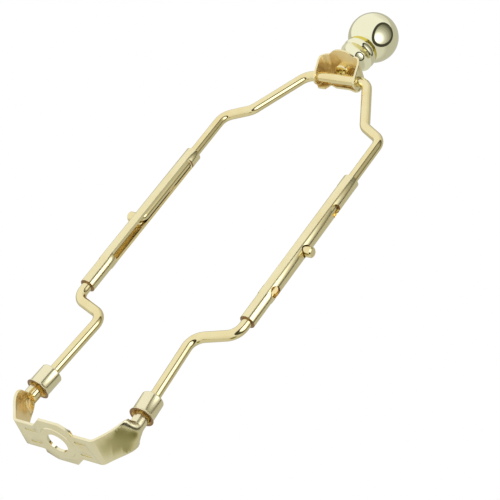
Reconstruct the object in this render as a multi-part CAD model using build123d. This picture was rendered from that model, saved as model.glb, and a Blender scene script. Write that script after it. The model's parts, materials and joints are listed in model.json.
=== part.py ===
from build123d import *
import math
import os

# An adjustable harp for a table lamp. A stamped saddle is clamped under the lamp socket, two lower
# wires stand in its arms behind sliding ferrules, and a bent upper wire hooks into one of three
# holes of each sleeve. A swivelling clip at the top carries the threaded stud and the ball finial.
# +Z runs along the harp, X across its two arms. The origin is on the axis of the saddle's hole,
# level with the underside of its strip.

# Wire stock and running clearances
WIRE_D = 4.76
WIRE_END_CHAMFER = 0.5
SLIDE_GAP = 0.05
PIN_GAP = 0.12
HOLE_GAP = 0.5
SWIVEL_GAP = 0.08

# Saddle: one strip of sheet, folded up at both ends
SADDLE_T = 1.2
SADDLE_HOLE_D = 10.3
SADDLE_HALF_LENGTH = 21.1
SADDLE_STRIP_W = 14.2
BOSS_W = 24.2
BOSS_HALF_LENGTH = 10.4
BOSS_TIP_HALF = 5.4
BOSS_SHOULDER_Y = 9.3
SADDLE_CORNER_R = 1.2
EMBOSS_D = 17.4
EMBOSS_H = 0.35
GROOVE_LENGTH = 5.6
GROOVE_W = 1.0
GROOVE_DEPTH = 0.3
GROOVE_Y = 3.7
GROOVE_X = 13.4
FOLD_R = 3.0
ARM_LEAN = 38.0
ARM_CORNER_R = 6.0
WING_SPREAD = 1.25
WING_LENGTH = 20.0
WING_LATENESS = 2.2
CURL_LATENESS = 4.5
WING_STATIONS = 14
TROUGH_WRAP = 105.0

# Lower wires: leaning legs, an outward jog and a stub crimped in the sleeve
LEG_LEAN = 4.5
LEG_X_AT_BASE = 30.0
LEG_FOOT_GAP = 0.8
LOWER_JOG_Z = 66.8
LOWER_JOG_TOP_Z = 73.45
JOG_BEND_R = 7.0

# Sleeves: crimped tube below, channel open to the inside, closed collar on top
ARM_X = 43.8
SLEEVE_T = 1.07
SLEEVE_BOTTOM_Z = 81.2
SLEEVE_TOP_Z = 169.0
CRIMP_LENGTH = 14.0
SWAGE_LENGTH = 4.0
CHANNEL_DEPTH = 5.6
CHANNEL_INNER_R = 2.1
COLLAR_LENGTH = 6.0
HOLE_PITCH = 25.4
MIDDLE_HOLE_Z = 124.7

# Upper wire: hooked pins, legs, jogs, slopes and the top run that the clip turns on
PIN_STANDOUT = 3.2
UPPER_JOG_Z = 195.6
SHOULDER_X = 31.45
SHOULDER_Z = 202.5
TOP_RUN_HALF = 16.3
TOP_RUN_Z = 230.7
TOP_BEND_R = 8.0

# Ferrules that lock the lower wires in the saddle's troughs
FERRULE_T = 1.3
FERRULE_RISE = 4.7
FERRULE_LENGTH = 10.2
FERRULE_LIP_T = 1.0
FERRULE_EDGE_R = 0.8
FERRULE_FLARE = 0.6
FERRULE_FLARE_LENGTH = 1.3
TROUGH_TOP_GAP = 0.5

# Top clip: a box of sheet, open in front and below, turned on the wire
CLIP_T = 1.0
CLIP_LENGTH = 23.0
CLIP_TOP_W = 7.8
CLIP_FRONT_V = -8.3
CLIP_BACK_V = 4.8
CLIP_BEND_R = 4.8
CLIP_BACK_BEND_R = 1.8
CHEEK_KNEE_W = 5.0
CHEEK_RIM = 1.4
CHEEK_CUT = 40.0
CHEEK_SLOT = 0.3
LIP_BULGE = 3.0
FLANGE_LOBE_W = -3.0
FLANGE_LOBE_X = -6.7
FLANGE_NOTCH_W = 0.4
FLANGE_NOTCH_X = -5.3
FLANGE_LOW_W = -1.2
FLANGE_LOW_X = -1.5
FLANGE_HEEL_W = -2.8
FLANGE_HEEL_X = 6.0
FLANGE_CORNER_R = 1.6
CLIP_TILT = 4.8

# Stud riveted in the clip
STUD_D = 6.35
STUD_V = -0.8
STUD_LENGTH = 12.0
STUD_POINT = 0.6
STUD_SHANK_D = 4.8
RIVET_D = 7.4
RIVET_H = 2.8
RIVET_CURL_R = 0.8
RIVET_BORE_D = 3.4
RIVET_BORE_DEPTH = 1.8

# Finial: turned base and ball
FINIAL_FOOT_D = 12.6
FINIAL_FOOT_H = 0.9
FINIAL_NECK_D = 10.4
FINIAL_NECK_H = 2.6
FINIAL_RIM_D = 16.4
FINIAL_RIM_H = 9.2
FINIAL_RIM_T = 1.1
FINIAL_WAIST_D = 15.6
FINIAL_COVE_FLARE = 0.3
FINIAL_COLLAR_D = 16.6
FINIAL_COLLAR_H = 13.6
FINIAL_SEAT_D = 15.4
FINIAL_SEAT_H = 15.2
FINIAL_BORE_SPARE = 0.8
SPIGOT_D = 5.0
SPIGOT_H = 5.0
BALL_D = 23.9
BALL_CENTRE_W = 33.0

BASE = (Align.CENTER, Align.CENTER, Align.MIN)
WIRE_R = WIRE_D / 2
LEG_SLOPE = math.tan(math.radians(LEG_LEAN))
TROUGH_R = WIRE_R + SLIDE_GAP + SADDLE_T
SLEEVE_R = WIRE_R + SLIDE_GAP + SLEEVE_T
HOOK_R = WIRE_R + PIN_GAP
HOLE_R = WIRE_R + HOLE_GAP
CHANNEL_HALF_W = HOOK_R + SLEEVE_T
CHANNEL_START_Z = SLEEVE_BOTTOM_Z + CRIMP_LENGTH + SWAGE_LENGTH
COLLAR_Z = SLEEVE_TOP_Z - COLLAR_LENGTH
LOW_HOLE_Z = MIDDLE_HOLE_Z - HOLE_PITCH
FERRULE_BORE_R = TROUGH_R + SLIDE_GAP
FERRULE_R = FERRULE_BORE_R + FERRULE_T
CLIP_HALF = CLIP_LENGTH / 2
FINIAL_BORE_R = STUD_D / 2 + SLIDE_GAP
FINIAL_BORE_DEPTH = STUD_LENGTH + FINIAL_BORE_SPARE


def leg_x(z):
    """Distance of the lower leg's centre line from the middle, at height z."""
    return LEG_X_AT_BASE - z * LEG_SLOPE


def mirrored(shape):
    """The same piece on the other arm."""
    return mirror(shape, about=Plane.YZ)


def bent_wire(points, radii):
    """Round wire along straight runs joined by arcs, with its two cut ends chamfered."""
    route = FilletPolyline(*points, radius=radii)
    wire = sweep(Plane(route @ 0, z_dir=route % 0) * Circle(WIRE_R), path=route)
    ends = [e for e in wire.edges().filter_by(GeomType.CIRCLE) if ends_wire(e, points)]
    return chamfer(ends, WIRE_END_CHAMFER)


def ends_wire(edge, points):
    """Whether an edge is the rim of one of the wire's two cut ends."""
    centre = edge.arc_center
    return min((centre - Vector(*p)).length for p in (points[0], points[-1])) < SLIDE_GAP


def arm_corner():
    """Where the arm's slope meets its trough, on the outer face: distance from the middle, height."""
    slope = math.radians(ARM_LEAN)
    foot_x = leg_x(0) + TROUGH_R / math.cos(math.radians(LEG_LEAN))
    run = (foot_x - SADDLE_HALF_LENGTH) / (math.sin(slope) + math.cos(slope) * LEG_SLOPE)
    return SADDLE_HALF_LENGTH + run * math.sin(slope), run * math.cos(slope)


def corner_cut():
    """How far from its corner, along the strip, the bend above the slope ends."""
    return ARM_CORNER_R * math.tan(math.radians(ARM_LEAN + LEG_LEAN) / 2)


def leg_foot_z():
    """Height of the lower wire's cut end, just above the bend at the foot of the trough."""
    return arm_corner()[1] + corner_cut() + LEG_FOOT_GAP


def ferrule_z():
    """Height of the ferrule's open mouth, round the trough above the wire's foot."""
    return leg_foot_z() + FERRULE_RISE


def trough_top_z():
    """Height of the trough's end, just under the ferrule's lip."""
    reach = FERRULE_LENGTH - FERRULE_LIP_T - TROUGH_TOP_GAP
    return ferrule_z() + reach * math.cos(math.radians(LEG_LEAN))


def arm_route():
    """The strip's outer face on the +X side: the plate, the fold, the slope and the trough."""
    corner_x, corner_z = arm_corner()
    top_z = trough_top_z()
    top_x = leg_x(top_z) + TROUGH_R / math.cos(math.radians(LEG_LEAN))
    return FilletPolyline(
        (0, 0, 0),
        (SADDLE_HALF_LENGTH, 0, 0),
        (corner_x, 0, corner_z),
        (top_x, 0, top_z),
        radius=[FOLD_R, ARM_CORNER_R],
    )


def strip_section(place, half_width, turn, thickness):
    """Section of sheet, half_width to each side, whose edges turn inwards by turn radians."""
    if turn == 0:
        return place * Pos(0, -thickness / 2) * Rectangle(2 * half_width, thickness)
    outer_r = half_width / turn
    inner_r = outer_r - thickness

    def rim(r, angle):
        return (r * math.sin(angle), r * math.cos(angle) - outer_r)

    outer = ThreePointArc(rim(outer_r, -turn), rim(outer_r, 0), rim(outer_r, turn))
    inner = ThreePointArc(rim(inner_r, turn), rim(inner_r, 0), rim(inner_r, -turn))
    return place * make_face([outer, Line(outer @ 1, inner @ 0), inner, Line(inner @ 1, outer @ 0)])


def saddle_arm():
    """The +X arm: a fold, a slope whose edges spread into wings, and a rolled trough for the wire."""
    route = arm_route()
    fold_cut = FOLD_R * math.tan(math.radians(90 - ARM_LEAN) / 2)
    fold_at = SADDLE_HALF_LENGTH - fold_cut
    slope_at = fold_at + FOLD_R * math.radians(90 - ARM_LEAN)
    trough_at = slope_at + WING_LENGTH
    half_strip = SADDLE_STRIP_W / 2
    wrap = math.radians(TROUGH_WRAP)
    half_tube = TROUGH_R * wrap

    def section(along, half_width, turn):
        here = route.position_at(along, PositionMode.LENGTH)
        ahead = route.tangent_at(along, PositionMode.LENGTH)
        place = Plane(here, x_dir=Vector(0, 1, 0), z_dir=-ahead)
        return strip_section(place, half_width, turn, SADDLE_T)

    def wing(share):
        spread = WING_SPREAD * math.sin(math.pi * share**WING_LATENESS)
        half_width = half_strip + (half_tube - half_strip) * share + spread
        turn = wrap * share**CURL_LATENESS
        return section(slope_at + share * WING_LENGTH, half_width, turn)

    flat_end = section(fold_at, half_strip, 0)
    flat = extrude(flat_end, FOLD_R, dir=(-1, 0, 0))
    centre = Axis((fold_at, 0, FOLD_R), (0, -1, 0))
    fold = revolve(flat_end, centre, 90 - ARM_LEAN)
    wings = loft([wing(step / WING_STATIONS) for step in range(WING_STATIONS + 1)], ruled=True)
    top = section(trough_at, half_tube, wrap)
    trough = extrude(top, route.length - trough_at, dir=route.tangent_at(1))
    return flat + fold + wings + trough


def saddle_plate():
    """The flat middle of the saddle: its boss, a disc pressed down round its hole, four grooves."""
    half_strip = SADDLE_STRIP_W / 2
    strip = Rectangle(2 * (SADDLE_HALF_LENGTH - FOLD_R), SADDLE_STRIP_W)
    side = [
        (-BOSS_HALF_LENGTH, -half_strip),
        (-BOSS_TIP_HALF, -BOSS_W / 2),
        (BOSS_TIP_HALF, -BOSS_W / 2),
        (BOSS_HALF_LENGTH, -BOSS_SHOULDER_Y),
        (BOSS_HALF_LENGTH, -half_strip),
    ]
    boss = Polygon(*side, *[(-x, -y) for x, y in side], align=None)
    outline = strip + boss
    tips = [v for v in outline.vertices() if abs(abs(v.Y) - BOSS_W / 2) < SLIDE_GAP]
    outline = fillet(tips, SADDLE_CORNER_R)
    plate = extrude(outline, SADDLE_T)
    plate += Pos(0, 0, -EMBOSS_H) * Cone(EMBOSS_D / 2 - EMBOSS_H, EMBOSS_D / 2, EMBOSS_H, align=BASE)
    top = Pos(0, 0, SADDLE_T - EMBOSS_H)
    plate -= top * Cone(EMBOSS_D / 2 - EMBOSS_H, EMBOSS_D / 2, EMBOSS_H, align=BASE)
    plate -= Pos(0, 0, -SADDLE_T) * extrude(Circle(SADDLE_HOLE_D / 2), 3 * SADDLE_T)
    for x_side in (-1, 1):
        for y_side in (-1, 1):
            groove = SlotOverall(GROOVE_LENGTH, GROOVE_W)
            plate -= Pos(x_side * GROOVE_X, y_side * GROOVE_Y, 0) * extrude(groove, GROOVE_DEPTH)
    return plate


def saddle():
    arm = saddle_arm()
    return saddle_plate() + arm + mirrored(arm)


def lower_wire():
    """The +X lower wire, from its foot in the trough to its end below the lowest hole."""
    end_z = LOW_HOLE_Z - WIRE_R - 2 * PIN_GAP - WIRE_END_CHAMFER
    foot_z = leg_foot_z()
    points = [
        (leg_x(foot_z), 0, foot_z),
        (leg_x(LOWER_JOG_Z), 0, LOWER_JOG_Z),
        (ARM_X, 0, LOWER_JOG_TOP_Z),
        (ARM_X, 0, end_z),
    ]
    return bent_wire(points, [JOG_BEND_R, JOG_BEND_R])


def sleeve():
    """The +X sleeve, made about the Z axis and moved out to its arm."""
    half = CHANNEL_HALF_W
    box_w = SLEEVE_R + half
    swage_z = SLEEVE_BOTTOM_Z + CRIMP_LENGTH
    outer_r = CHANNEL_INNER_R + SLEEVE_T
    outer = Pos((SLEEVE_R - half) / 2, 0, 0) * RectangleRounded(box_w, 2 * half, outer_r)
    upper = Pos(0, 0, swage_z) * extrude(outer, SLEEVE_TOP_Z - swage_z)
    flare_r = SLEEVE_R + SWAGE_LENGTH / 2
    swage = Pos(0, 0, swage_z + SWAGE_LENGTH / 2) * Cone(SLEEVE_R, flare_r, SWAGE_LENGTH)
    plain = Pos(0, 0, CHANNEL_START_Z) * extrude(Circle(flare_r), SLEEVE_TOP_Z - CHANNEL_START_Z)
    upper = upper & (swage + plain)
    crimp = Pos(0, 0, SLEEVE_BOTTOM_Z) * extrude(Circle(SLEEVE_R), CRIMP_LENGTH)
    body = crimp + upper

    bore_r = WIRE_R + SLIDE_GAP
    body -= Pos(0, 0, SLEEVE_BOTTOM_Z) * extrude(Circle(bore_r), SLEEVE_TOP_Z - SLEEVE_BOTTOM_Z)
    cavity_w = SLEEVE_R + half - 2 * SLEEVE_T
    cavity = RectangleRounded(cavity_w, 2 * (half - SLEEVE_T), CHANNEL_INNER_R)
    cavity_z = swage_z + SWAGE_LENGTH / 2
    body -= Pos((SLEEVE_R - half) / 2, 0, cavity_z) * extrude(cavity, SLEEVE_TOP_Z - cavity_z)

    lip_x = SLEEVE_R - CHANNEL_DEPTH
    window_r = CHANNEL_DEPTH / 4
    window_l = COLLAR_Z - CHANNEL_START_Z
    window = RectangleRounded(4 * window_r, window_l, window_r)
    window = Plane.XZ * Pos(lip_x - 2 * window_r, (COLLAR_Z + CHANNEL_START_Z) / 2) * window
    body -= extrude(window, 2 * half, both=True)

    corner_x = SLEEVE_R - outer_r
    hole = Rot(0, 90, 0) * extrude(Circle(HOLE_R), 2 * SLEEVE_R)
    for step in (-1, 0, 1):
        body -= Pos(corner_x, 0, MIDDLE_HOLE_Z + step * HOLE_PITCH) * hole
    return Pos(ARM_X, 0, 0) * body


def upper_wire():
    """The whole upper wire: pin, leg, jog, slope, top run and the same again down to the other pin.

    The bend behind each pin is tight, so that it clears the wall above the pin's hole.
    """
    side = [
        (ARM_X + SLEEVE_R + PIN_STANDOUT, 0, MIDDLE_HOLE_Z),
        (ARM_X, 0, MIDDLE_HOLE_Z),
        (ARM_X, 0, UPPER_JOG_Z),
        (SHOULDER_X, 0, SHOULDER_Z),
        (TOP_RUN_HALF, 0, TOP_RUN_Z),
    ]
    radii = [HOOK_R, JOG_BEND_R, JOG_BEND_R, TOP_BEND_R]
    points = side + [(-x, y, z) for x, y, z in reversed(side)]
    return bent_wire(points, radii + radii[::-1])


def ferrule():
    """A drawn cup with a flared mouth and a hole for the wire, made upright and leaned to its leg."""
    lip_hole_r = WIRE_R + 2 * SLIDE_GAP
    lip_z = FERRULE_LENGTH - FERRULE_LIP_T
    profile = Polyline(
        (FERRULE_BORE_R + FERRULE_FLARE, 0),
        (FERRULE_R + FERRULE_FLARE, 0),
        (FERRULE_R, FERRULE_FLARE_LENGTH),
        (FERRULE_R, FERRULE_LENGTH),
        (lip_hole_r, FERRULE_LENGTH),
        (lip_hole_r, lip_z),
        (FERRULE_BORE_R, lip_z),
        (FERRULE_BORE_R, FERRULE_FLARE_LENGTH),
        close=True,
    )
    cup = revolve(Plane.XZ * make_face(profile), Axis.Z)
    top = cup.edges().filter_by(GeomType.CIRCLE).group_by(Axis.Z)[-1]
    cup = fillet([e for e in top if e.radius > lip_hole_r + SLIDE_GAP], FERRULE_EDGE_R)
    return Pos(leg_x(ferrule_z()), 0, ferrule_z()) * Rot(0, -LEG_LEAN, 0) * cup


def on_clip(shape):
    """Moves what was made about the clip's own axes to its place on the top run."""
    return Pos(0, 0, TOP_RUN_Z) * Rot(-CLIP_TILT, 0, 0) * shape


def clip_sides():
    """The top plate and the two cheeks: one strip bent down at both ends, cut to the side outline."""
    inner_r = CLIP_BEND_R - CLIP_T
    low = -CLIP_LENGTH
    height = CLIP_TOP_W - low
    depth = CLIP_BACK_V - CLIP_FRONT_V

    def arch(half, top_w, bend_r):
        shape = Pos(0, (top_w + low) / 2) * Rectangle(2 * half, top_w - low)
        return fillet(shape.vertices().group_by(Axis.Y)[-1], bend_r)

    bent = arch(CLIP_HALF, CLIP_TOP_W, CLIP_BEND_R)
    bent -= arch(CLIP_HALF - CLIP_T, CLIP_TOP_W - CLIP_T, inner_r)
    strip = extrude(Plane.XZ * bent, CLIP_LENGTH, both=True)

    ring_r = WIRE_R + SWIVEL_GAP + CHEEK_RIM
    back_v = CLIP_BACK_V - CLIP_T - CHEEK_SLOT
    side = Polygon(
        (CLIP_FRONT_V, CLIP_TOP_W),
        (CLIP_FRONT_V, CHEEK_KNEE_W),
        (-ring_r * math.cos(math.radians(CHEEK_CUT)), -ring_r * math.sin(math.radians(CHEEK_CUT))),
        (back_v, -ring_r * math.sin(math.radians(CHEEK_CUT))),
        (back_v, CLIP_TOP_W),
        align=None,
    )
    side += Circle(ring_r) - Pos(back_v + ring_r, 0) * Rectangle(2 * ring_r, 2 * ring_r)
    return strip & extrude(Plane.YZ * side, CLIP_LENGTH, both=True)


def clip_lip():
    """The rounded front edge of the top plate, between the two bends."""
    half = CLIP_HALF - CLIP_BEND_R
    edge = ThreePointArc((-half, CLIP_FRONT_V), (0, CLIP_FRONT_V - LIP_BULGE), (half, CLIP_FRONT_V))
    lip = make_face([edge, Line(edge @ 1, edge @ 0)])
    return Pos(0, 0, CLIP_TOP_W - CLIP_T) * extrude(lip, CLIP_T, dir=(0, 0, 1))


def clip_flange():
    """The top plate bent down behind the wire, with a lobe, a notch and a heel along its low edge."""
    inner_r = CLIP_BACK_BEND_R - CLIP_T
    start_v = CLIP_BACK_V - CLIP_BACK_BEND_R - CLIP_T

    def corner(back_v, top_w, bend_r):
        shape = Polygon(
            (start_v, FLANGE_LOBE_W),
            (back_v, FLANGE_LOBE_W),
            (back_v, top_w),
            (start_v, top_w),
            align=None,
        )
        return fillet(shape.vertices().group_by(Axis.Y)[-1].sort_by(Axis.X)[-1], bend_r)

    bent = corner(CLIP_BACK_V, CLIP_TOP_W, CLIP_BACK_BEND_R)
    bent -= corner(CLIP_BACK_V - CLIP_T, CLIP_TOP_W - CLIP_T, inner_r)
    flange = extrude(Plane.YZ * bent, CLIP_HALF, both=True)

    front = Polygon(
        (-CLIP_HALF, FLANGE_LOBE_W),
        (FLANGE_LOBE_X, FLANGE_LOBE_W),
        (FLANGE_NOTCH_X, FLANGE_NOTCH_W),
        (FLANGE_LOW_X, FLANGE_LOW_W),
        (FLANGE_HEEL_X, FLANGE_LOW_W),
        (CLIP_HALF, FLANGE_HEEL_W),
        (CLIP_HALF, CLIP_TOP_W),
        (-CLIP_HALF, CLIP_TOP_W),
        align=None,
    )
    front = fillet(front.vertices().group_by(Axis.Y)[-1], CLIP_BEND_R)
    low_ends = [v for v in front.vertices() if abs(v.X) > CLIP_HALF - SLIDE_GAP and v.Y < FLANGE_LOW_W]
    front = fillet(low_ends, FLANGE_CORNER_R)
    return flange & extrude(Plane.XZ * front, CLIP_LENGTH, both=True)


def clip():
    """The stamped clip, about the wire's axis, with Y to the back and Z along the stud."""
    body = clip_sides() + clip_lip() + clip_flange()
    body -= Rot(0, 90, 0) * extrude(Circle(WIRE_R + SWIVEL_GAP), CLIP_LENGTH, both=True)
    shank_r = STUD_SHANK_D / 2 + SLIDE_GAP
    body -= Pos(0, STUD_V, CLIP_TOP_W - 2 * CLIP_T) * extrude(Circle(shank_r), 4 * CLIP_T)
    return on_clip(body)


def stud():
    """The shade's stud: threaded above the plate, with a riveted shank and a hollow rivet end."""
    low = CLIP_TOP_W - CLIP_T
    thread = extrude(Circle(STUD_D / 2), STUD_LENGTH)
    thread = chamfer(thread.edges().group_by(Axis.Z)[-1], STUD_POINT)
    rivet = Pos(0, 0, low - RIVET_H) * extrude(Circle(RIVET_D / 2), RIVET_H)
    rivet -= Pos(0, 0, low - RIVET_H) * extrude(Circle(RIVET_BORE_D / 2), RIVET_BORE_DEPTH)
    rivet = fillet(rivet.edges().group_by(Axis.Z)[0].sort_by(SortBy.LENGTH)[-1], RIVET_CURL_R)
    shank = Pos(0, 0, low) * extrude(Circle(STUD_SHANK_D / 2), CLIP_T)
    return on_clip(Pos(0, STUD_V, 0) * (Pos(0, 0, CLIP_TOP_W) * thread + shank + rivet))


def finial_base():
    """The turned base on the stud: foot, cove, rim, rounded collar, seat and the ball's spigot."""
    foot_r = FINIAL_FOOT_D / 2
    neck_r = FINIAL_NECK_D / 2
    rim_r = FINIAL_RIM_D / 2
    waist_r = FINIAL_WAIST_D / 2
    collar_r = FINIAL_COLLAR_D / 2
    seat_r = FINIAL_SEAT_D / 2
    rim_top = FINIAL_RIM_H + FINIAL_RIM_T
    spigot_top = FINIAL_SEAT_H + SPIGOT_H
    cove = Spline(
        (foot_r, FINIAL_FOOT_H),
        (neck_r, FINIAL_NECK_H),
        (rim_r, FINIAL_RIM_H),
        tangents=[(-1, FINIAL_COVE_FLARE), (1, FINIAL_COVE_FLARE)],
    )
    collar = ThreePointArc(
        (waist_r, rim_top),
        (collar_r, (rim_top + FINIAL_COLLAR_H) / 2),
        (waist_r, FINIAL_COLLAR_H),
    )
    outline = [
        Line((FINIAL_BORE_R, 0), (foot_r, 0)),
        Line((foot_r, 0), (foot_r, FINIAL_FOOT_H)),
        cove,
        Line((rim_r, FINIAL_RIM_H), (rim_r, rim_top)),
        Line((rim_r, rim_top), (waist_r, rim_top)),
        collar,
        Polyline(
            (waist_r, FINIAL_COLLAR_H),
            (seat_r, FINIAL_COLLAR_H),
            (seat_r, FINIAL_SEAT_H),
            (SPIGOT_D / 2, FINIAL_SEAT_H),
            (SPIGOT_D / 2, spigot_top),
            (0, spigot_top),
            (0, FINIAL_BORE_DEPTH),
            (FINIAL_BORE_R, FINIAL_BORE_DEPTH),
            (FINIAL_BORE_R, 0),
        ),
    ]
    body = revolve(Plane.XZ * make_face(outline), Axis.Z)
    return on_clip(Pos(0, STUD_V, CLIP_TOP_W) * body)


def finial_ball():
    """The ball, flat where it sits on the base, with a blind hole for the base's spigot."""
    seat_w = CLIP_TOP_W + FINIAL_SEAT_H
    ball = Pos(0, STUD_V, BALL_CENTRE_W) * Sphere(BALL_D / 2)
    ball -= Pos(0, STUD_V, seat_w - BALL_D) * extrude(Circle(BALL_D), BALL_D)
    hole_r = SPIGOT_D / 2 + SLIDE_GAP
    ball -= Pos(0, STUD_V, seat_w) * extrude(Circle(hole_r), SPIGOT_H + PIN_GAP)
    return on_clip(ball)


def write(name, shape):
    solids = shape.solids()
    export_step(solids[0] if len(solids) == 1 else shape, f"parts/{name}.step")


def main():
    os.makedirs("parts", exist_ok=True)
    write("saddle", saddle())
    pairs = {"lower_wire": lower_wire(), "sleeve": sleeve(), "ferrule": ferrule()}
    for name, piece in pairs.items():
        write(name + "_right", piece)
        write(name + "_left", mirrored(piece))
    write("upper_wire", upper_wire())
    write("clip", clip())
    write("stud", stud())
    write("finial_base", finial_base())
    write("finial_ball", finial_ball())


main()
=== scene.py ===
import json
import math

import bmesh
import bpy
from mathutils import Matrix, Vector

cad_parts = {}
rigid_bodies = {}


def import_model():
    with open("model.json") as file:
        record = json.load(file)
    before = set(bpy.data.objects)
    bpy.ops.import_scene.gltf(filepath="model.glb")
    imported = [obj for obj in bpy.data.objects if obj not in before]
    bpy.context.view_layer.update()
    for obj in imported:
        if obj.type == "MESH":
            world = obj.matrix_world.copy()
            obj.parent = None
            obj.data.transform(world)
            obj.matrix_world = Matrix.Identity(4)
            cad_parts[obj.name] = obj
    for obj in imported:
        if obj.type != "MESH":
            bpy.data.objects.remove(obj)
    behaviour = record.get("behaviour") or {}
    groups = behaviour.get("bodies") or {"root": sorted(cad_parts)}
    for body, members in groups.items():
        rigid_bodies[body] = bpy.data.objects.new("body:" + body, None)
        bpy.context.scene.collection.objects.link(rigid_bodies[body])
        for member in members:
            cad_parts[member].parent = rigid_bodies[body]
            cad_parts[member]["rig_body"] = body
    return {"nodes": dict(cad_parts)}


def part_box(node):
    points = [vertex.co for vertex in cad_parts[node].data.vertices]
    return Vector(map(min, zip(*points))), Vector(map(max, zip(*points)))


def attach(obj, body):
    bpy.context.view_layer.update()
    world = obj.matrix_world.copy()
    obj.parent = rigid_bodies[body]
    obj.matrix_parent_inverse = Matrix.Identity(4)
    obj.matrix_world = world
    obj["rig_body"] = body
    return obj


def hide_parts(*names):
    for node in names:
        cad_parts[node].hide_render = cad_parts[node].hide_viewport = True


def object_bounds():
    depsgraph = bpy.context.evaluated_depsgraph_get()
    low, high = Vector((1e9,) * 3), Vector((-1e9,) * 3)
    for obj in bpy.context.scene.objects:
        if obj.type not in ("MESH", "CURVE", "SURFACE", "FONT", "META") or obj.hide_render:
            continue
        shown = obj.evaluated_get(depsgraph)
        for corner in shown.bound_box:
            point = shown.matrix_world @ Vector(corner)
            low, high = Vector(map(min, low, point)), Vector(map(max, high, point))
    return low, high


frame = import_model()
CAD_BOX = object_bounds()

bl_info = {
    "name": "Lamp Harp",
    "version": (1, 0, 0),
    "blender": (4, 5, 0),
    "location": "View3D > Sidebar > Lamp Harp",
    "description": "Dresses an adjustable lamp harp in plated brass and sets up its studio",
    "category": "Object",
}


# Meshes: what is merged, how much the sheet's edges are rounded and which angles count
MERGE_DISTANCE = 1e-6
EDGE_ROUNDING = 0.00018
FLAT_ANGLE = math.radians(0.4)
CREASE_ANGLE = math.radians(28)
SHARP_ANGLE = math.radians(50)

# Places on the harp where a finish begins or ends, in metres
ARM_X = 0.0438
SLOT_LOW, SLOT_HIGH = 0.0992, 0.1631
SLOT_HALF_WIDTH = 0.0020
SADDLE_FOLD_TOP = 0.003
HOLE_EDGE = 0.0058
LEG_SLOPE = math.tan(math.radians(4.5))
LEG_FOOT_X = 0.0300
FERRULE_RIM = 0.0055
CLIP_MIDDLE = Vector((0.0, -0.0015, 0.2335))
CLIP_INNER_REACH = 0.0006
STUD_FOOT = Vector((0.0, -0.0001445, 0.2385396))
STUD_WAY = Vector((0.0, 0.0836778, 0.9964929))
# Heights along the stud between which the finial's base gets a painted reflection ring
RING_REFLECTION_LOW, RING_REFLECTION_HIGH = 0.0137, 0.01515

# Painted shade card, a dull glowing card that the arm's outside mirrors as shade: what it faces, the
# direction in which that mirrors it, its distance and its radius as a share of that distance
ARM_MIDDLE = Vector((0.037, -0.002, 0.024))
ARM_MIRRORS = Vector((0.653, 0.628, -0.447))
ARM_SHADE_CARD_DISTANCE = 0.10
ARM_SHADE_CARD_RADIUS = 0.62

# Studio: half the floor's side, its grey, and the paper behind the object low down
FLOOR_HALF = 6.0
FLOOR_GREY = 0.86
LOW_PAPER = 0.72


class HARP_PG_metal(bpy.types.PropertyGroup):
    """Colours and finish of the plated brass"""

    stamped_colour: bpy.props.FloatVectorProperty(
        name="Stamped Brass",
        description="Colour of the plating on the stamped pieces",
        subtype="COLOR",
        size=3,
        min=0.0,
        max=1.0,
        default=(0.86, 0.78, 0.48),
    )
    wire_colour: bpy.props.FloatVectorProperty(
        name="Wire Brass",
        description="Colour of the plating on the wires and ferrules",
        subtype="COLOR",
        size=3,
        min=0.0,
        max=1.0,
        default=(0.85, 0.75, 0.43),
    )
    finial_colour: bpy.props.FloatVectorProperty(
        name="Finial",
        description="Paler plating of the finial",
        subtype="COLOR",
        size=3,
        min=0.0,
        max=1.0,
        default=(0.87, 0.86, 0.62),
    )
    # Painted reflection: yellow band where the ball meets its base
    ring_reflection_colour: bpy.props.FloatVectorProperty(
        name="Finial Ring Reflection",
        description="Deep yellow ring where the ball meets its base",
        subtype="COLOR",
        size=3,
        min=0.0,
        max=1.0,
        default=(0.72, 0.58, 0.09),
    )
    saddle_colour: bpy.props.FloatVectorProperty(
        name="Saddle Brass",
        description="Paler plating of the saddle and ferrules",
        subtype="COLOR",
        size=3,
        min=0.0,
        max=1.0,
        default=(0.86, 0.80, 0.54),
    )
    # Painted shade: deeper brass for inner faces, standing in for light bouncing between them
    inside_shade_colour: bpy.props.FloatVectorProperty(
        name="Inside Brass Shade",
        description="Deeper brass inside the saddle, the ferrules and the clip",
        subtype="COLOR",
        size=3,
        min=0.0,
        max=1.0,
        default=(0.92, 0.74, 0.38),
    )
    # Painted shade: amber colour on the sleeves' inner walls, standing in for light bouncing in the channel
    channel_shade_colour: bpy.props.FloatVectorProperty(
        name="Channel Brass Shade",
        description="Plating inside the sleeves, which turns amber where light bounces in it",
        subtype="COLOR",
        size=3,
        min=0.0,
        max=1.0,
        default=(0.96, 0.80, 0.42),
    )
    cut_colour: bpy.props.FloatVectorProperty(
        name="Cut Edge",
        description="Brown tarnish on the cut ends of the tubes",
        subtype="COLOR",
        size=3,
        min=0.0,
        max=1.0,
        default=(0.36, 0.23, 0.12),
    )
    roughness: bpy.props.FloatProperty(
        name="Roughness",
        description="Roughness of the stamped sheet",
        subtype="FACTOR",
        min=0.0,
        max=1.0,
        default=0.20,
    )


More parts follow.
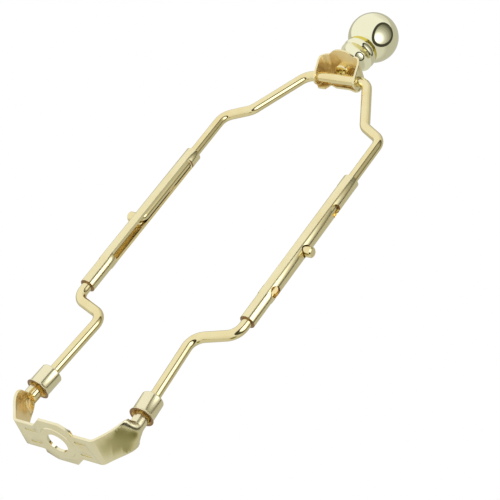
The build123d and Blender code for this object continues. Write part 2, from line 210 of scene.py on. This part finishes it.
class HARP_PG_studio(bpy.types.PropertyGroup):
    """Camera and light"""

    camera_place: bpy.props.FloatVectorProperty(
        name="Camera Place",
        description="Where the camera stands",
        subtype="TRANSLATION",
        unit="LENGTH",
        size=3,
        default=(0.533446, -0.556715, -0.341830),
    )
    camera_right: bpy.props.FloatVectorProperty(
        name="Camera Right",
        description="Direction of the picture's right edge",
        subtype="DIRECTION",
        size=3,
        default=(0.799575, 0.310770, 0.513908),
    )
    camera_back: bpy.props.FloatVectorProperty(
        name="Camera Back",
        description="Direction from the picture towards the camera",
        subtype="DIRECTION",
        size=3,
        default=(0.578560, -0.628106, -0.520338),
    )
    lens: bpy.props.FloatProperty(
        name="Lens",
        description="Focal length on a 36 mm sensor, in millimetres",
        min=10.0,
        max=400.0,
        default=148.587,
    )
    floor_drop: bpy.props.FloatProperty(
        name="Floor Drop",
        description="How far the floor lies below the saddle",
        unit="LENGTH",
        min=0.0,
        max=2.0,
        default=0.40,
    )
    tent_light: bpy.props.FloatProperty(
        name="Tent Light",
        description="Strength of the white tent in front of the object",
        min=0.0,
        max=2.0,
        default=1.0,
    )
    back_light: bpy.props.FloatProperty(
        name="Back Light",
        description="Strength of the paper behind the object, high up",
        min=0.0,
        max=2.0,
        default=0.56,
    )
    panel_way: bpy.props.FloatVectorProperty(
        name="Panel Way",
        description="Direction from the finial to the soft panel's middle",
        subtype="DIRECTION",
        size=3,
        default=(0.9511, -0.3090, 0.0),
    )
    panel_distance: bpy.props.FloatProperty(
        name="Panel Distance",
        description="Distance from the finial to the soft panel",
        unit="LENGTH",
        min=0.1,
        max=2.0,
        default=0.26,
    )


def dressed_copy(node, name, finishes, finish_of=None, rounding=0.0):
    """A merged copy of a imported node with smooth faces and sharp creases, standing for that node.

    finish_of picks a finish's number from a face's middle and normal. rounding takes the sharpness off the
    sheet's edges by that much.
    """
    source = frame["nodes"][node]
    bm = bmesh.new()
    bm.from_mesh(source.data)
    bmesh.ops.remove_doubles(bm, verts=bm.verts, dist=MERGE_DISTANCE)
    bmesh.ops.recalc_face_normals(bm, faces=bm.faces)
    if finish_of:
        for face in bm.faces:
            face.material_index = finish_of(face.calc_center_median(), face.normal)
    if rounding:
        round_edges(bm, rounding)
    for face in bm.faces:
        face.smooth = True
    for edge in bm.edges:
        if len(edge.link_faces) == 2 and edge.calc_face_angle() > CREASE_ANGLE:
            edge.smooth = False
    mesh = bpy.data.meshes.new(name)
    bm.to_mesh(mesh)
    bm.free()
    for finish in finishes:
        mesh.materials.append(finish)
    return seated(name, mesh, node)


def round_edges(bm, amount):
    """Joins flat neighbours into whole faces, then bevels every edge that turns past the sharp angle.

    The edges of the saddle's hole stay sharp.
    """
    bmesh.ops.dissolve_limit(
        bm, angle_limit=FLAT_ANGLE, verts=bm.verts, edges=bm.edges, delimit={"MATERIAL"}
    )
    sharp = []
    for edge in bm.edges:
        middle = (edge.verts[0].co + edge.verts[1].co) / 2
        at_hole = middle.z < SADDLE_FOLD_TOP and middle.xy.length < HOLE_EDGE
        if len(edge.link_faces) == 2 and edge.calc_face_angle() > SHARP_ANGLE and not at_hole:
            sharp.append(edge)
    bmesh.ops.bevel(
        bm,
        geom=sharp,
        offset=amount,
        offset_type="OFFSET",
        segments=2,
        profile=0.5,
        affect="EDGES",
        clamp_overlap=True,
        material=-1,
    )


def seated(name, mesh, node):
    """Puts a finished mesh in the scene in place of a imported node, riding on that node's body."""
    piece = bpy.data.objects.new(name, mesh)
    bpy.context.scene.collection.objects.link(piece)
    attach(piece, frame["nodes"][node]["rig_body"])
    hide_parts(node)
    return piece


def socket_of(tree, name, kind, in_out, default=None, low=None, high=None):
    """Adds one named socket to a node group."""
    item = tree.interface.new_socket(name=name, in_out=in_out, socket_type=kind)
    if default is not None:
        item.default_value = default
    if low is not None:
        item.min_value = low
        item.max_value = high
    return item


def plating_group():
    """Uneven plating: cloudy tone, fine drawing lines and a few deeper-coloured patches."""
    group = bpy.data.node_groups.get("Plating")
    if group:
        return group
    group = bpy.data.node_groups.new("Plating", "ShaderNodeTree")
    socket_of(group, "Colour", "NodeSocketColor", "INPUT", (0.8, 0.7, 0.4, 1.0))
    socket_of(group, "Deep Colour", "NodeSocketColor", "INPUT", (0.6, 0.45, 0.15, 1.0))
    socket_of(group, "Cloud Scale", "NodeSocketFloat", "INPUT", 120.0, 0.0, 5000.0)
    socket_of(group, "Grain Scale", "NodeSocketFloat", "INPUT", 1500.0, 0.0, 9000.0)
    socket_of(group, "Roughness", "NodeSocketFloat", "INPUT", 0.2, 0.0, 1.0)
    socket_of(group, "Bump Height", "NodeSocketFloat", "INPUT", 0.2, 0.0, 1.0)
    socket_of(group, "Colour", "NodeSocketColor", "OUTPUT")
    socket_of(group, "Roughness", "NodeSocketFloat", "OUTPUT")
    socket_of(group, "Height", "NodeSocketFloat", "OUTPUT")
    nodes = group.nodes
    links = group.links
    given = nodes.new("NodeGroupInput")
    result = nodes.new("NodeGroupOutput")
    place = nodes.new("ShaderNodeTexCoord")
    cloud = nodes.new("ShaderNodeTexNoise")
    cloud.inputs["Detail"].default_value = 3.0
    links.new(place.outputs["Object"], cloud.inputs["Vector"])
    links.new(given.outputs["Cloud Scale"], cloud.inputs["Scale"])
    grain = nodes.new("ShaderNodeTexNoise")
    grain.inputs["Detail"].default_value = 2.0
    links.new(place.outputs["Object"], grain.inputs["Vector"])
    links.new(given.outputs["Grain Scale"], grain.inputs["Scale"])

    patch = nodes.new("ShaderNodeMapRange")
    patch.inputs["From Min"].default_value = 0.45
    patch.inputs["From Max"].default_value = 0.75
    patch.inputs["To Max"].default_value = 0.5
    links.new(cloud.outputs["Fac"], patch.inputs["Value"])
    tone = nodes.new("ShaderNodeMix")
    tone.data_type = "RGBA"
    links.new(patch.outputs["Result"], tone.inputs["Factor"])
    links.new(given.outputs["Colour"], tone.inputs["A"])
    links.new(given.outputs["Deep Colour"], tone.inputs["B"])
    links.new(tone.outputs["Result"], result.inputs["Colour"])

    dull = nodes.new("ShaderNodeMapRange")
    dull.inputs["To Min"].default_value = 0.8
    dull.inputs["To Max"].default_value = 1.25
    links.new(cloud.outputs["Fac"], dull.inputs["Value"])
    rough = nodes.new("ShaderNodeMath")
    rough.operation = "MULTIPLY"
    links.new(dull.outputs["Result"], rough.inputs[0])
    links.new(given.outputs["Roughness"], rough.inputs[1])
    links.new(rough.outputs["Value"], result.inputs["Roughness"])

    height = nodes.new("ShaderNodeMath")
    height.operation = "MULTIPLY"
    links.new(grain.outputs["Fac"], height.inputs[0])
    links.new(given.outputs["Bump Height"], height.inputs[1])
    links.new(height.outputs["Value"], result.inputs["Height"])
    return group


def plated_metal(name, colour, deep, roughness, cloud_scale, grain_scale, bump, metallic=1.0):
    """Brass-plated steel with the shared plating effect; dull inner faces are less metallic."""
    material = bpy.data.materials.get(name)
    if material:
        return material
    material = bpy.data.materials.new(name)
    material.use_nodes = True
    nodes = material.node_tree.nodes
    links = material.node_tree.links
    shader = nodes["Principled BSDF"]
    shader.inputs["Metallic"].default_value = metallic
    plating = nodes.new("ShaderNodeGroup")
    plating.node_tree = plating_group()
    plating.inputs["Colour"].default_value = (*colour, 1.0)
    plating.inputs["Deep Colour"].default_value = (*deep, 1.0)
    plating.inputs["Roughness"].default_value = roughness
    plating.inputs["Cloud Scale"].default_value = cloud_scale
    plating.inputs["Grain Scale"].default_value = grain_scale
    plating.inputs["Bump Height"].default_value = bump
    links.new(plating.outputs["Colour"], shader.inputs["Base Color"])
    links.new(plating.outputs["Roughness"], shader.inputs["Roughness"])
    relief = nodes.new("ShaderNodeBump")
    relief.inputs["Strength"].default_value = 0.04
    relief.inputs["Distance"].default_value = 0.0001
    links.new(plating.outputs["Height"], relief.inputs["Height"])
    links.new(relief.outputs["Normal"], shader.inputs["Normal"])
    return material


def deeper(colour, amount):
    """The same colour, richer: less of its green and blue."""
    return (colour[0] * (1 - 0.2 * amount), colour[1] * (1 - 0.45 * amount), colour[2] * (1 - amount))


def stamped_metal(scene):
    metal = scene.harp_metal
    colour = metal.stamped_colour
    return plated_metal(
        "Stamped Brass",
        colour,
        deeper(colour, 0.25),
        roughness=metal.roughness,
        cloud_scale=130.0,
        grain_scale=900.0,
        bump=0.5,
    )


def saddle_metal(scene):
    metal = scene.harp_metal
    colour = metal.saddle_colour
    return plated_metal(
        "Saddle Brass",
        colour,
        deeper(colour, 0.25),
        roughness=metal.roughness,
        cloud_scale=110.0,
        grain_scale=900.0,
        bump=0.5,
    )


# Painted shade: the deeper brass given to inner faces for light bouncing between them
def inside_shade_metal(scene):
    colour = scene.harp_metal.inside_shade_colour
    return plated_metal(
        "Inside Brass Shade",
        colour,
        deeper(colour, 0.4),
        roughness=0.32,
        cloud_scale=170.0,
        grain_scale=900.0,
        bump=0.3,
        metallic=0.8,
    )


def cut_metal(scene):
    colour = scene.harp_metal.cut_colour
    return plated_metal(
        "Cut Edge",
        colour,
        deeper(colour, 0.4),
        roughness=0.42,
        cloud_scale=400.0,
        grain_scale=2500.0,
        bump=0.8,
    )


# Painted shade: the amber given to the sleeves' inner walls for light bouncing in the channel
def channel_shade_metal(scene):
    colour = scene.harp_metal.channel_shade_colour
    return plated_metal(
        "Channel Brass Shade",
        colour,
        deeper(colour, 0.3),
        roughness=0.20,
        cloud_scale=300.0,
        grain_scale=2500.0,
        bump=0.2,
        metallic=0.95,
    )


def wire_metal(scene):
    colour = scene.harp_metal.wire_colour
    return plated_metal(
        "Wire Brass",
        colour,
        deeper(colour, 0.3),
        roughness=0.12,
        cloud_scale=160.0,
        grain_scale=900.0,
        bump=0.3,
    )


def finial_metal(scene):
    colour = scene.harp_metal.finial_colour
    return plated_metal(
        "Finial Plating",
        colour,
        deeper(colour, 0.1),
        roughness=0.05,
        cloud_scale=60.0,
        grain_scale=2000.0,
        bump=0.05,
    )


# Painted reflection: the yellow line where the ball meets its base
def ring_reflection_metal(scene):
    colour = scene.harp_metal.ring_reflection_colour
    return plated_metal(
        "Finial Ring Reflection",
        colour,
        deeper(colour, 0.3),
        roughness=0.24,
        cloud_scale=150.0,
        grain_scale=2000.0,
        bump=0.2,
    )


# Numbers of a piece's finishes, and how squarely a face looks along an axis to count as an end
# SHADED_INSIDE is the finish of inner faces, whose deeper colour is painted shade
SHEET, SHADED_INSIDE, CUT = 0, 1, 2
END_FACING = 0.85


def saddle_finish(middle, normal):
    """The strip's upper side and the arms' inner sides get deeper brass, painted shade for light bouncing
    between them.
    """
    outward = math.copysign(1.0, middle.x)
    if middle.z < SADDLE_FOLD_TOP:
        return SHADED_INSIDE if normal.z > 0.5 else SHEET
    return SHADED_INSIDE if normal.x * outward < -0.35 else SHEET


def sleeve_finish(middle, normal):
    """A sleeve's inner walls and its slot's far edge get channel brass, painted amber shade for light
    bouncing in the channel, and its ends are cut.
    """
    outward = math.copysign(1.0, middle.x)
    axis_x = outward * ARM_X
    if abs(normal.z) > END_FACING:
        return CUT
    in_slot = SLOT_LOW < middle.z < SLOT_HIGH
    if in_slot and middle.y > SLOT_HALF_WIDTH and normal.x * outward < -END_FACING:
        return SHADED_INSIDE
    to_axis = (axis_x - middle.x) * normal.x - middle.y * normal.y
    return SHADED_INSIDE if to_axis > 0 else SHEET


def ferrule_finish(middle, normal):
    """A ferrule's bore gets deeper brass as painted shade for light bouncing inside it, and its mouth's rim
    is cut.
    """
    outward = math.copysign(1.0, middle.x)
    leg = Vector((-outward * LEG_SLOPE, 0, 1)).normalized()
    foot = Vector((outward * LEG_FOOT_X, 0, 0))
    across = (foot - middle) - leg * (foot - middle).dot(leg)
    if abs(normal.dot(leg)) > END_FACING and across.length < FERRULE_RIM:
        return CUT if normal.z < 0 else SHEET
    return SHADED_INSIDE if across.dot(normal) > 0 else SHEET


def clip_finish(middle, normal):
    """The clip's inner faces get deeper brass, painted shade for light bouncing inside the clip."""
    return SHADED_INSIDE if (CLIP_MIDDLE - middle).dot(normal) > CLIP_INNER_REACH else SHEET


def base_finish(middle, normal):
    """The seat under the ball gets a deep yellow ring, a painted reflection line where ball and base meet.
    """
    height = (middle - STUD_FOOT).dot(STUD_WAY)
    return 1 if RING_REFLECTION_LOW < height < RING_REFLECTION_HIGH else 0


class HARP_OT_saddle(bpy.types.Operator):
    """Dress the stamped saddle"""

    bl_idname = "harp.saddle"
    bl_label = "Saddle"

    def execute(self, context):
        finishes = (saddle_metal(context.scene), inside_shade_metal(context.scene))
        dressed_copy("saddle", "saddle_plated", finishes, saddle_finish, EDGE_ROUNDING)
        return {"FINISHED"}


class HARP_OT_wires(bpy.types.Operator):
    """Dress the lower wires and the upper wire"""

    bl_idname = "harp.wires"
    bl_label = "Wires"

    def execute(self, context):
        finishes = (wire_metal(context.scene),)
        for node in ("lower_wire_left", "lower_wire_right", "upper_wire"):
            dressed_copy(node, node + "_plated", finishes)
        return {"FINISHED"}


class HARP_OT_sleeves(bpy.types.Operator):
    """Dress the two slotted sleeves"""

    bl_idname = "harp.sleeves"
    bl_label = "Sleeves"

    def execute(self, context):
        scene = context.scene
        finishes = (stamped_metal(scene), channel_shade_metal(scene), cut_metal(scene))
        for node in ("sleeve_left", "sleeve_right"):
            dressed_copy(node, node + "_plated", finishes, sleeve_finish, EDGE_ROUNDING)
        return {"FINISHED"}


class HARP_OT_ferrules(bpy.types.Operator):
    """Dress the sliding ferrules"""

    bl_idname = "harp.ferrules"
    bl_label = "Ferrules"

    def execute(self, context):
        scene = context.scene
        finishes = (saddle_metal(scene), inside_shade_metal(scene), cut_metal(scene))
        for node in ("ferrule_left", "ferrule_right"):
            dressed_copy(node, node + "_plated", finishes, ferrule_finish, EDGE_ROUNDING)
        return {"FINISHED"}


class HARP_OT_clip(bpy.types.Operator):
    """Dress the clip and its riveted stud"""

    bl_idname = "harp.clip"
    bl_label = "Clip and Stud"

    def execute(self, context):
        scene = context.scene
        finishes = (stamped_metal(scene), inside_shade_metal(scene))
        dressed_copy("clip", "clip_plated", finishes, clip_finish, EDGE_ROUNDING)
        dressed_copy("stud", "stud_plated", (wire_metal(scene),))
        return {"FINISHED"}


class HARP_OT_finial(bpy.types.Operator):
    """Dress the finial's base and ball"""

    bl_idname = "harp.finial"
    bl_label = "Finial"

    def execute(self, context):
        scene = context.scene
        finishes = (finial_metal(scene), ring_reflection_metal(scene))
        dressed_copy("finial_base", "finial_base_plated", finishes, base_finish)
        dressed_copy("finial_ball", "finial_ball_plated", finishes[:1])
        return {"FINISHED"}


def math_node(tree, operation, first, second=None, clamp=False):
    """One math node whose inputs are sockets or numbers."""
    node = tree.nodes.new("ShaderNodeMath")
    node.operation = operation
    node.use_clamp = clamp
    for index, value in enumerate((first, second)):
        if value is None:
            continue
        if isinstance(value, (int, float)):
            node.inputs[index].default_value = value
        else:
            tree.links.new(value, node.inputs[index])
    return node.outputs["Value"]


def ramp_node(tree, value, stops, ease="EASE"):
    """A colour ramp over 0 to 1 with grey stops."""
    node = tree.nodes.new("ShaderNodeValToRGB")
    ramp = node.color_ramp
    ramp.interpolation = ease
    for place, level in stops[2:]:
        ramp.elements.new(place)
    for element, (place, level) in zip(ramp.elements, sorted(stops)):
        element.position = place
        element.color = (level, level, level, 1.0)
    tree.links.new(value, node.inputs["Fac"])
    return node.outputs["Color"]


def mixed(tree, factor, first, second):
    """Value between two others; each is a socket or a number."""
    node = tree.nodes.new("ShaderNodeMix")
    node.data_type = "FLOAT"
    for index, value in enumerate((factor, first, second)):
        if isinstance(value, (int, float)):
            node.inputs[index if index == 0 else index + 1].default_value = value
        else:
            tree.links.new(value, node.inputs[index if index == 0 else index + 1])
    return node.outputs[0]


def half_range(tree, value):
    """Brings -1..1 to 0..1."""
    node = math_node(tree, "MULTIPLY_ADD", value, 0.5)
    node.node.inputs[2].default_value = 0.5
    return node


def warmed(tree, level, weak=(1.0, 0.96, 0.70, 1.0)):
    """Light that turns a little warmer where it is weak."""
    node = tree.nodes.new("ShaderNodeMix")
    node.data_type = "RGBA"
    tree.links.new(level, node.inputs["Factor"])
    node.inputs["A"].default_value = weak
    node.inputs["B"].default_value = (1.0, 1.0, 1.0, 1.0)
    return node.outputs["Result"]


def studio_world(scene):
    """A white tent in front and white paper behind; the camera itself sees plain white."""
    studio = scene.harp_studio
    world = bpy.data.worlds.new("Studio")
    scene.world = world
    world.use_nodes = True
    tree = world.node_tree
    links = tree.links
    background = tree.nodes["Background"]
    direction = tree.nodes.new("ShaderNodeTexCoord").outputs["Generated"]
    split = tree.nodes.new("ShaderNodeSeparateXYZ")
    links.new(direction, split.inputs["Vector"])
    depth = half_range(tree, split.outputs["Y"])
    rise = half_range(tree, split.outputs["Z"])

    behind = ramp_node(tree, depth, [(0.0, 0.0), (0.47, 0.0), (0.53, 1.0), (1.0, 1.0)])
    low = ramp_node(tree, rise, [(0.0, 1.0), (0.32, 1.0), (0.50, 0.0), (1.0, 0.0)])
    paper = mixed(tree, low, studio.back_light, LOW_PAPER)
    tent = ramp_node(tree, rise, [(0.0, 0.9), (0.2, 1.0), (0.9, 1.0), (1.0, 0.8)])
    tent_level = math_node(tree, "MULTIPLY", tent, studio.tent_light)
    lit = mixed(tree, behind, tent_level, paper)

    camera_ray = tree.nodes.new("ShaderNodeLightPath").outputs["Is Camera Ray"]
    links.new(mixed(tree, camera_ray, lit, 1.0), background.inputs["Strength"])
    tint = tree.nodes.new("ShaderNodeMix")
    tint.data_type = "RGBA"
    links.new(camera_ray, tint.inputs["Factor"])
    links.new(warmed(tree, lit), tint.inputs["A"])
    tint.inputs["B"].default_value = (1.0, 1.0, 1.0, 1.0)
    links.new(tint.outputs["Result"], background.inputs["Color"])


# Soft panel, as shares of its distance: half width and half height of its opening, the middle of that
# opening, the bright spot low in it and the whole card's radius. FRAME_SHARE is how far the dark frame
# reaches, in openings. The last two are the strength of the cloth's light and the frame's level.
OPENING_HALF = (0.78, 1.18)
OPENING_MIDDLE = (-0.06, 0.20, 0.0)
SPOT_PLACE = (-0.13, -0.50, 0.0)
FRAME_RADIUS = 2.2
FRAME_SHARE = 1.42
CLOTH_STRENGTH = 2.3
FRAME_LEVEL = 0.06
CLOTH_STOPS = [(0.0, 1.0), (0.13, 0.95), (0.22, 0.48), (0.32, 0.30), (0.45, 0.20), (0.62, 0.12), (0.8, 0.05)]


def scaled_distance(tree, point, scale):
    """Distance from a point in a card's own plane, each axis measured in its own unit."""
    place = tree.nodes.new("ShaderNodeTexCoord").outputs["Object"]
    move = tree.nodes.new("ShaderNodeVectorMath")
    move.operation = "SUBTRACT"
    tree.links.new(place, move.inputs[0])
    move.inputs[1].default_value = point
    spread = tree.nodes.new("ShaderNodeVectorMath")
    spread.operation = "DIVIDE"
    tree.links.new(move.outputs["Vector"], spread.inputs[0])
    spread.inputs[1].default_value = (*scale, 1.0)
    size = tree.nodes.new("ShaderNodeVectorMath")
    size.operation = "LENGTH"
    tree.links.new(spread.outputs["Vector"], size.inputs[0])
    return size.outputs["Value"]


def glowing_material(name):
    """An empty emission material and its tree."""
    material = bpy.data.materials.new(name)
    material.use_nodes = True
    tree = material.node_tree
    tree.nodes.remove(tree.nodes["Principled BSDF"])
    return material, tree


def finish_glow(tree, level, colour, past_edge=None):
    """Sends a level and a colour to the output; past_edge lets the light behind through."""
    emission = tree.nodes.new("ShaderNodeEmission")
    tree.links.new(level, emission.inputs["Strength"])
    tree.links.new(colour, emission.inputs["Color"])
    surface = emission.outputs["Emission"]
    if past_edge is not None:
        clear = tree.nodes.new("ShaderNodeBsdfTransparent")
        mix = tree.nodes.new("ShaderNodeMixShader")
        tree.links.new(past_edge, mix.inputs["Fac"])
        tree.links.new(surface, mix.inputs[1])
        tree.links.new(clear.outputs["BSDF"], mix.inputs[2])
        surface = mix.outputs["Shader"]
    tree.links.new(surface, tree.nodes["Material Output"].inputs["Surface"])


def panel_material():
    """Light through cloth: bright near its spot, weaker further off, black frame round it."""
    material, tree = glowing_material("Soft Panel")
    spot = math_node(tree, "DIVIDE", scaled_distance(tree, SPOT_PLACE, (1.0, 1.0)), 2.0)
    glow = ramp_node(tree, spot, CLOTH_STOPS)
    strength = math_node(tree, "MULTIPLY", glow, CLOTH_STRENGTH)
    rim = math_node(tree, "DIVIDE", scaled_distance(tree, OPENING_MIDDLE, OPENING_HALF), 2.0)
    frame_part = ramp_node(tree, rim, [(0.0, 0.0), (0.45, 0.0), (0.50, 1.0), (1.0, 1.0)])
    edge = FRAME_SHARE / 2.0
    past_edge = ramp_node(tree, rim, [(0.0, 0.0), (edge - 0.015, 0.0), (edge + 0.015, 1.0), (1.0, 1.0)])
    level = mixed(tree, frame_part, strength, FRAME_LEVEL)
    finish_glow(tree, level, warmed(tree, level), past_edge)
    return material


def shade_card_material():
    """Painted shade: a dull, warm-tinted glowing card that fades out towards its rim."""
    material, tree = glowing_material("Painted Shade Card")
    away = scaled_distance(tree, (0.0, 0.0, 0.0), (1.0, 1.0))
    level = ramp_node(tree, away, [(0.0, 0.15), (0.20, 0.20), (0.45, 0.55), (1.0, 0.75)])
    past_edge = ramp_node(tree, away, [(0.0, 0.0), (0.3, 0.0), (0.62, 1.0), (1.0, 1.0)])
    finish_glow(tree, level, warmed(tree, level, (1.0, 0.95, 0.30, 1.0)), past_edge)
    return material


class HARP_OT_stage(bpy.types.Operator):
    """Set up the floor, the studio light and the camera"""

    bl_idname = "harp.stage"
    bl_label = "Stage"

    def execute(self, context):
        scene = context.scene
        studio = scene.harp_studio
        studio_world(scene)
        self.add_floor(scene, studio)
        low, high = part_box("finial_ball")
        finial = (low + high) / 2
        distance = studio.panel_distance
        self.add_card("panel", finial, studio.panel_way, distance, FRAME_RADIUS, panel_material())
        # Painted shade: a dull glowing card that only the saddle arm's reflection sees
        dull = shade_card_material()
        self.add_card("arm_shade_card", ARM_MIDDLE, ARM_MIRRORS, ARM_SHADE_CARD_DISTANCE, ARM_SHADE_CARD_RADIUS, dull)
        self.add_camera(scene, studio)
        scene.view_settings.view_transform = "Standard"
        return {"FINISHED"}

    def add_floor(self, scene, studio):
        bm = bmesh.new()
        bmesh.ops.create_grid(bm, x_segments=1, y_segments=1, size=FLOOR_HALF)
        bmesh.ops.translate(bm, verts=bm.verts, vec=(0, 0, CAD_BOX[0][2] - studio.floor_drop))
        mesh = bpy.data.meshes.new("floor")
        bm.to_mesh(mesh)
        bm.free()
        floor = bpy.data.objects.new("floor", mesh)
        scene.collection.objects.link(floor)
        material = bpy.data.materials.new("Studio Floor")
        material.use_nodes = True
        nodes = material.node_tree.nodes
        links = material.node_tree.links
        shader = nodes["Principled BSDF"]
        shader.inputs["Base Color"].default_value = (FLOOR_GREY, FLOOR_GREY, FLOOR_GREY, 1.0)
        shader.inputs["Roughness"].default_value = 0.9
        side = nodes.new("ShaderNodeNewGeometry")
        clear = nodes.new("ShaderNodeBsdfTransparent")
        mix = nodes.new("ShaderNodeMixShader")
        path = nodes.new("ShaderNodeLightPath")
        unseen = nodes.new("ShaderNodeMath")
        unseen.operation = "MAXIMUM"
        links.new(side.outputs["Backfacing"], unseen.inputs[0])
        links.new(path.outputs["Is Glossy Ray"], unseen.inputs[1])
        links.new(unseen.outputs["Value"], mix.inputs["Fac"])
        links.new(shader.outputs["BSDF"], mix.inputs[1])
        links.new(clear.outputs["BSDF"], mix.inputs[2])
        links.new(mix.outputs["Shader"], nodes["Material Output"].inputs["Surface"])
        mesh.materials.append(material)

    def add_card(self, name, target, way, distance, radius, material):
        """A round card that faces a target and that only reflections see."""
        bm = bmesh.new()
        bmesh.ops.create_circle(bm, cap_ends=True, segments=96, radius=radius)
        mesh = bpy.data.meshes.new(name)
        bm.to_mesh(mesh)
        bm.free()
        card = bpy.data.objects.new(name, mesh)
        bpy.context.scene.collection.objects.link(card)
        way = Vector(way).normalized()
        side = Vector((0, 0, 1)).cross(way).normalized()
        turn = Matrix((side, way.cross(side), way)).transposed().to_4x4()
        place = Matrix.Translation(Vector(target) + way * distance)
        card.matrix_world = place @ turn @ Matrix.Scale(distance, 4)
        card.visible_camera = False
        card.visible_diffuse = False
        card.visible_shadow = False
        mesh.materials.append(material)

    def add_camera(self, scene, studio):
        right = Vector(studio.camera_right).normalized()
        back = Vector(studio.camera_back)
        back = (back - right * back.dot(right)).normalized()
        up = back.cross(right)
        turn = Matrix((right, up, back)).transposed().to_4x4()
        data = bpy.data.cameras.new("camera")
        data.sensor_width = 36.0
        data.lens = studio.lens
        data.clip_start = 0.01
        data.clip_end = 20.0
        camera = bpy.data.objects.new("camera", data)
        camera.matrix_world = Matrix.Translation(studio.camera_place) @ turn
        scene.collection.objects.link(camera)
        scene.camera = camera


class HARP_PT_panel(bpy.types.Panel):
    """Shows the harp's metal and studio settings and the buttons that dress it"""

    bl_idname = "HARP_PT_panel"
    bl_label = "Lamp Harp"
    bl_space_type = "VIEW_3D"
    bl_region_type = "UI"
    bl_category = "Lamp Harp"

    def draw(self, context):
        layout = self.layout
        for group in (context.scene.harp_metal, context.scene.harp_studio):
            box = layout.box()
            for name in group.bl_rna.properties.keys():
                if name not in ("rna_type", "name"):
                    box.prop(group, name)
        for operator in OPERATORS:
            layout.operator(operator.bl_idname)


OPERATORS = (
    HARP_OT_stage,
    HARP_OT_saddle,
    HARP_OT_wires,
    HARP_OT_sleeves,
    HARP_OT_ferrules,
    HARP_OT_clip,
    HARP_OT_finial,
)
CLASSES = (HARP_PG_metal, HARP_PG_studio, *OPERATORS, HARP_PT_panel)


def register():
    for cls in CLASSES:
        bpy.utils.register_class(cls)
    bpy.types.Scene.harp_metal = bpy.props.PointerProperty(type=HARP_PG_metal)
    bpy.types.Scene.harp_studio = bpy.props.PointerProperty(type=HARP_PG_studio)


def unregister():
    del bpy.types.Scene.harp_studio
    del bpy.types.Scene.harp_metal
    for cls in reversed(CLASSES):
        bpy.utils.unregister_class(cls)


def main():
    register()
    bpy.ops.harp.stage()
    bpy.ops.harp.saddle()
    bpy.ops.harp.wires()
    bpy.ops.harp.sleeves()
    bpy.ops.harp.ferrules()
    bpy.ops.harp.clip()
    bpy.ops.harp.finial()


if __name__ == "__main__":
    main()
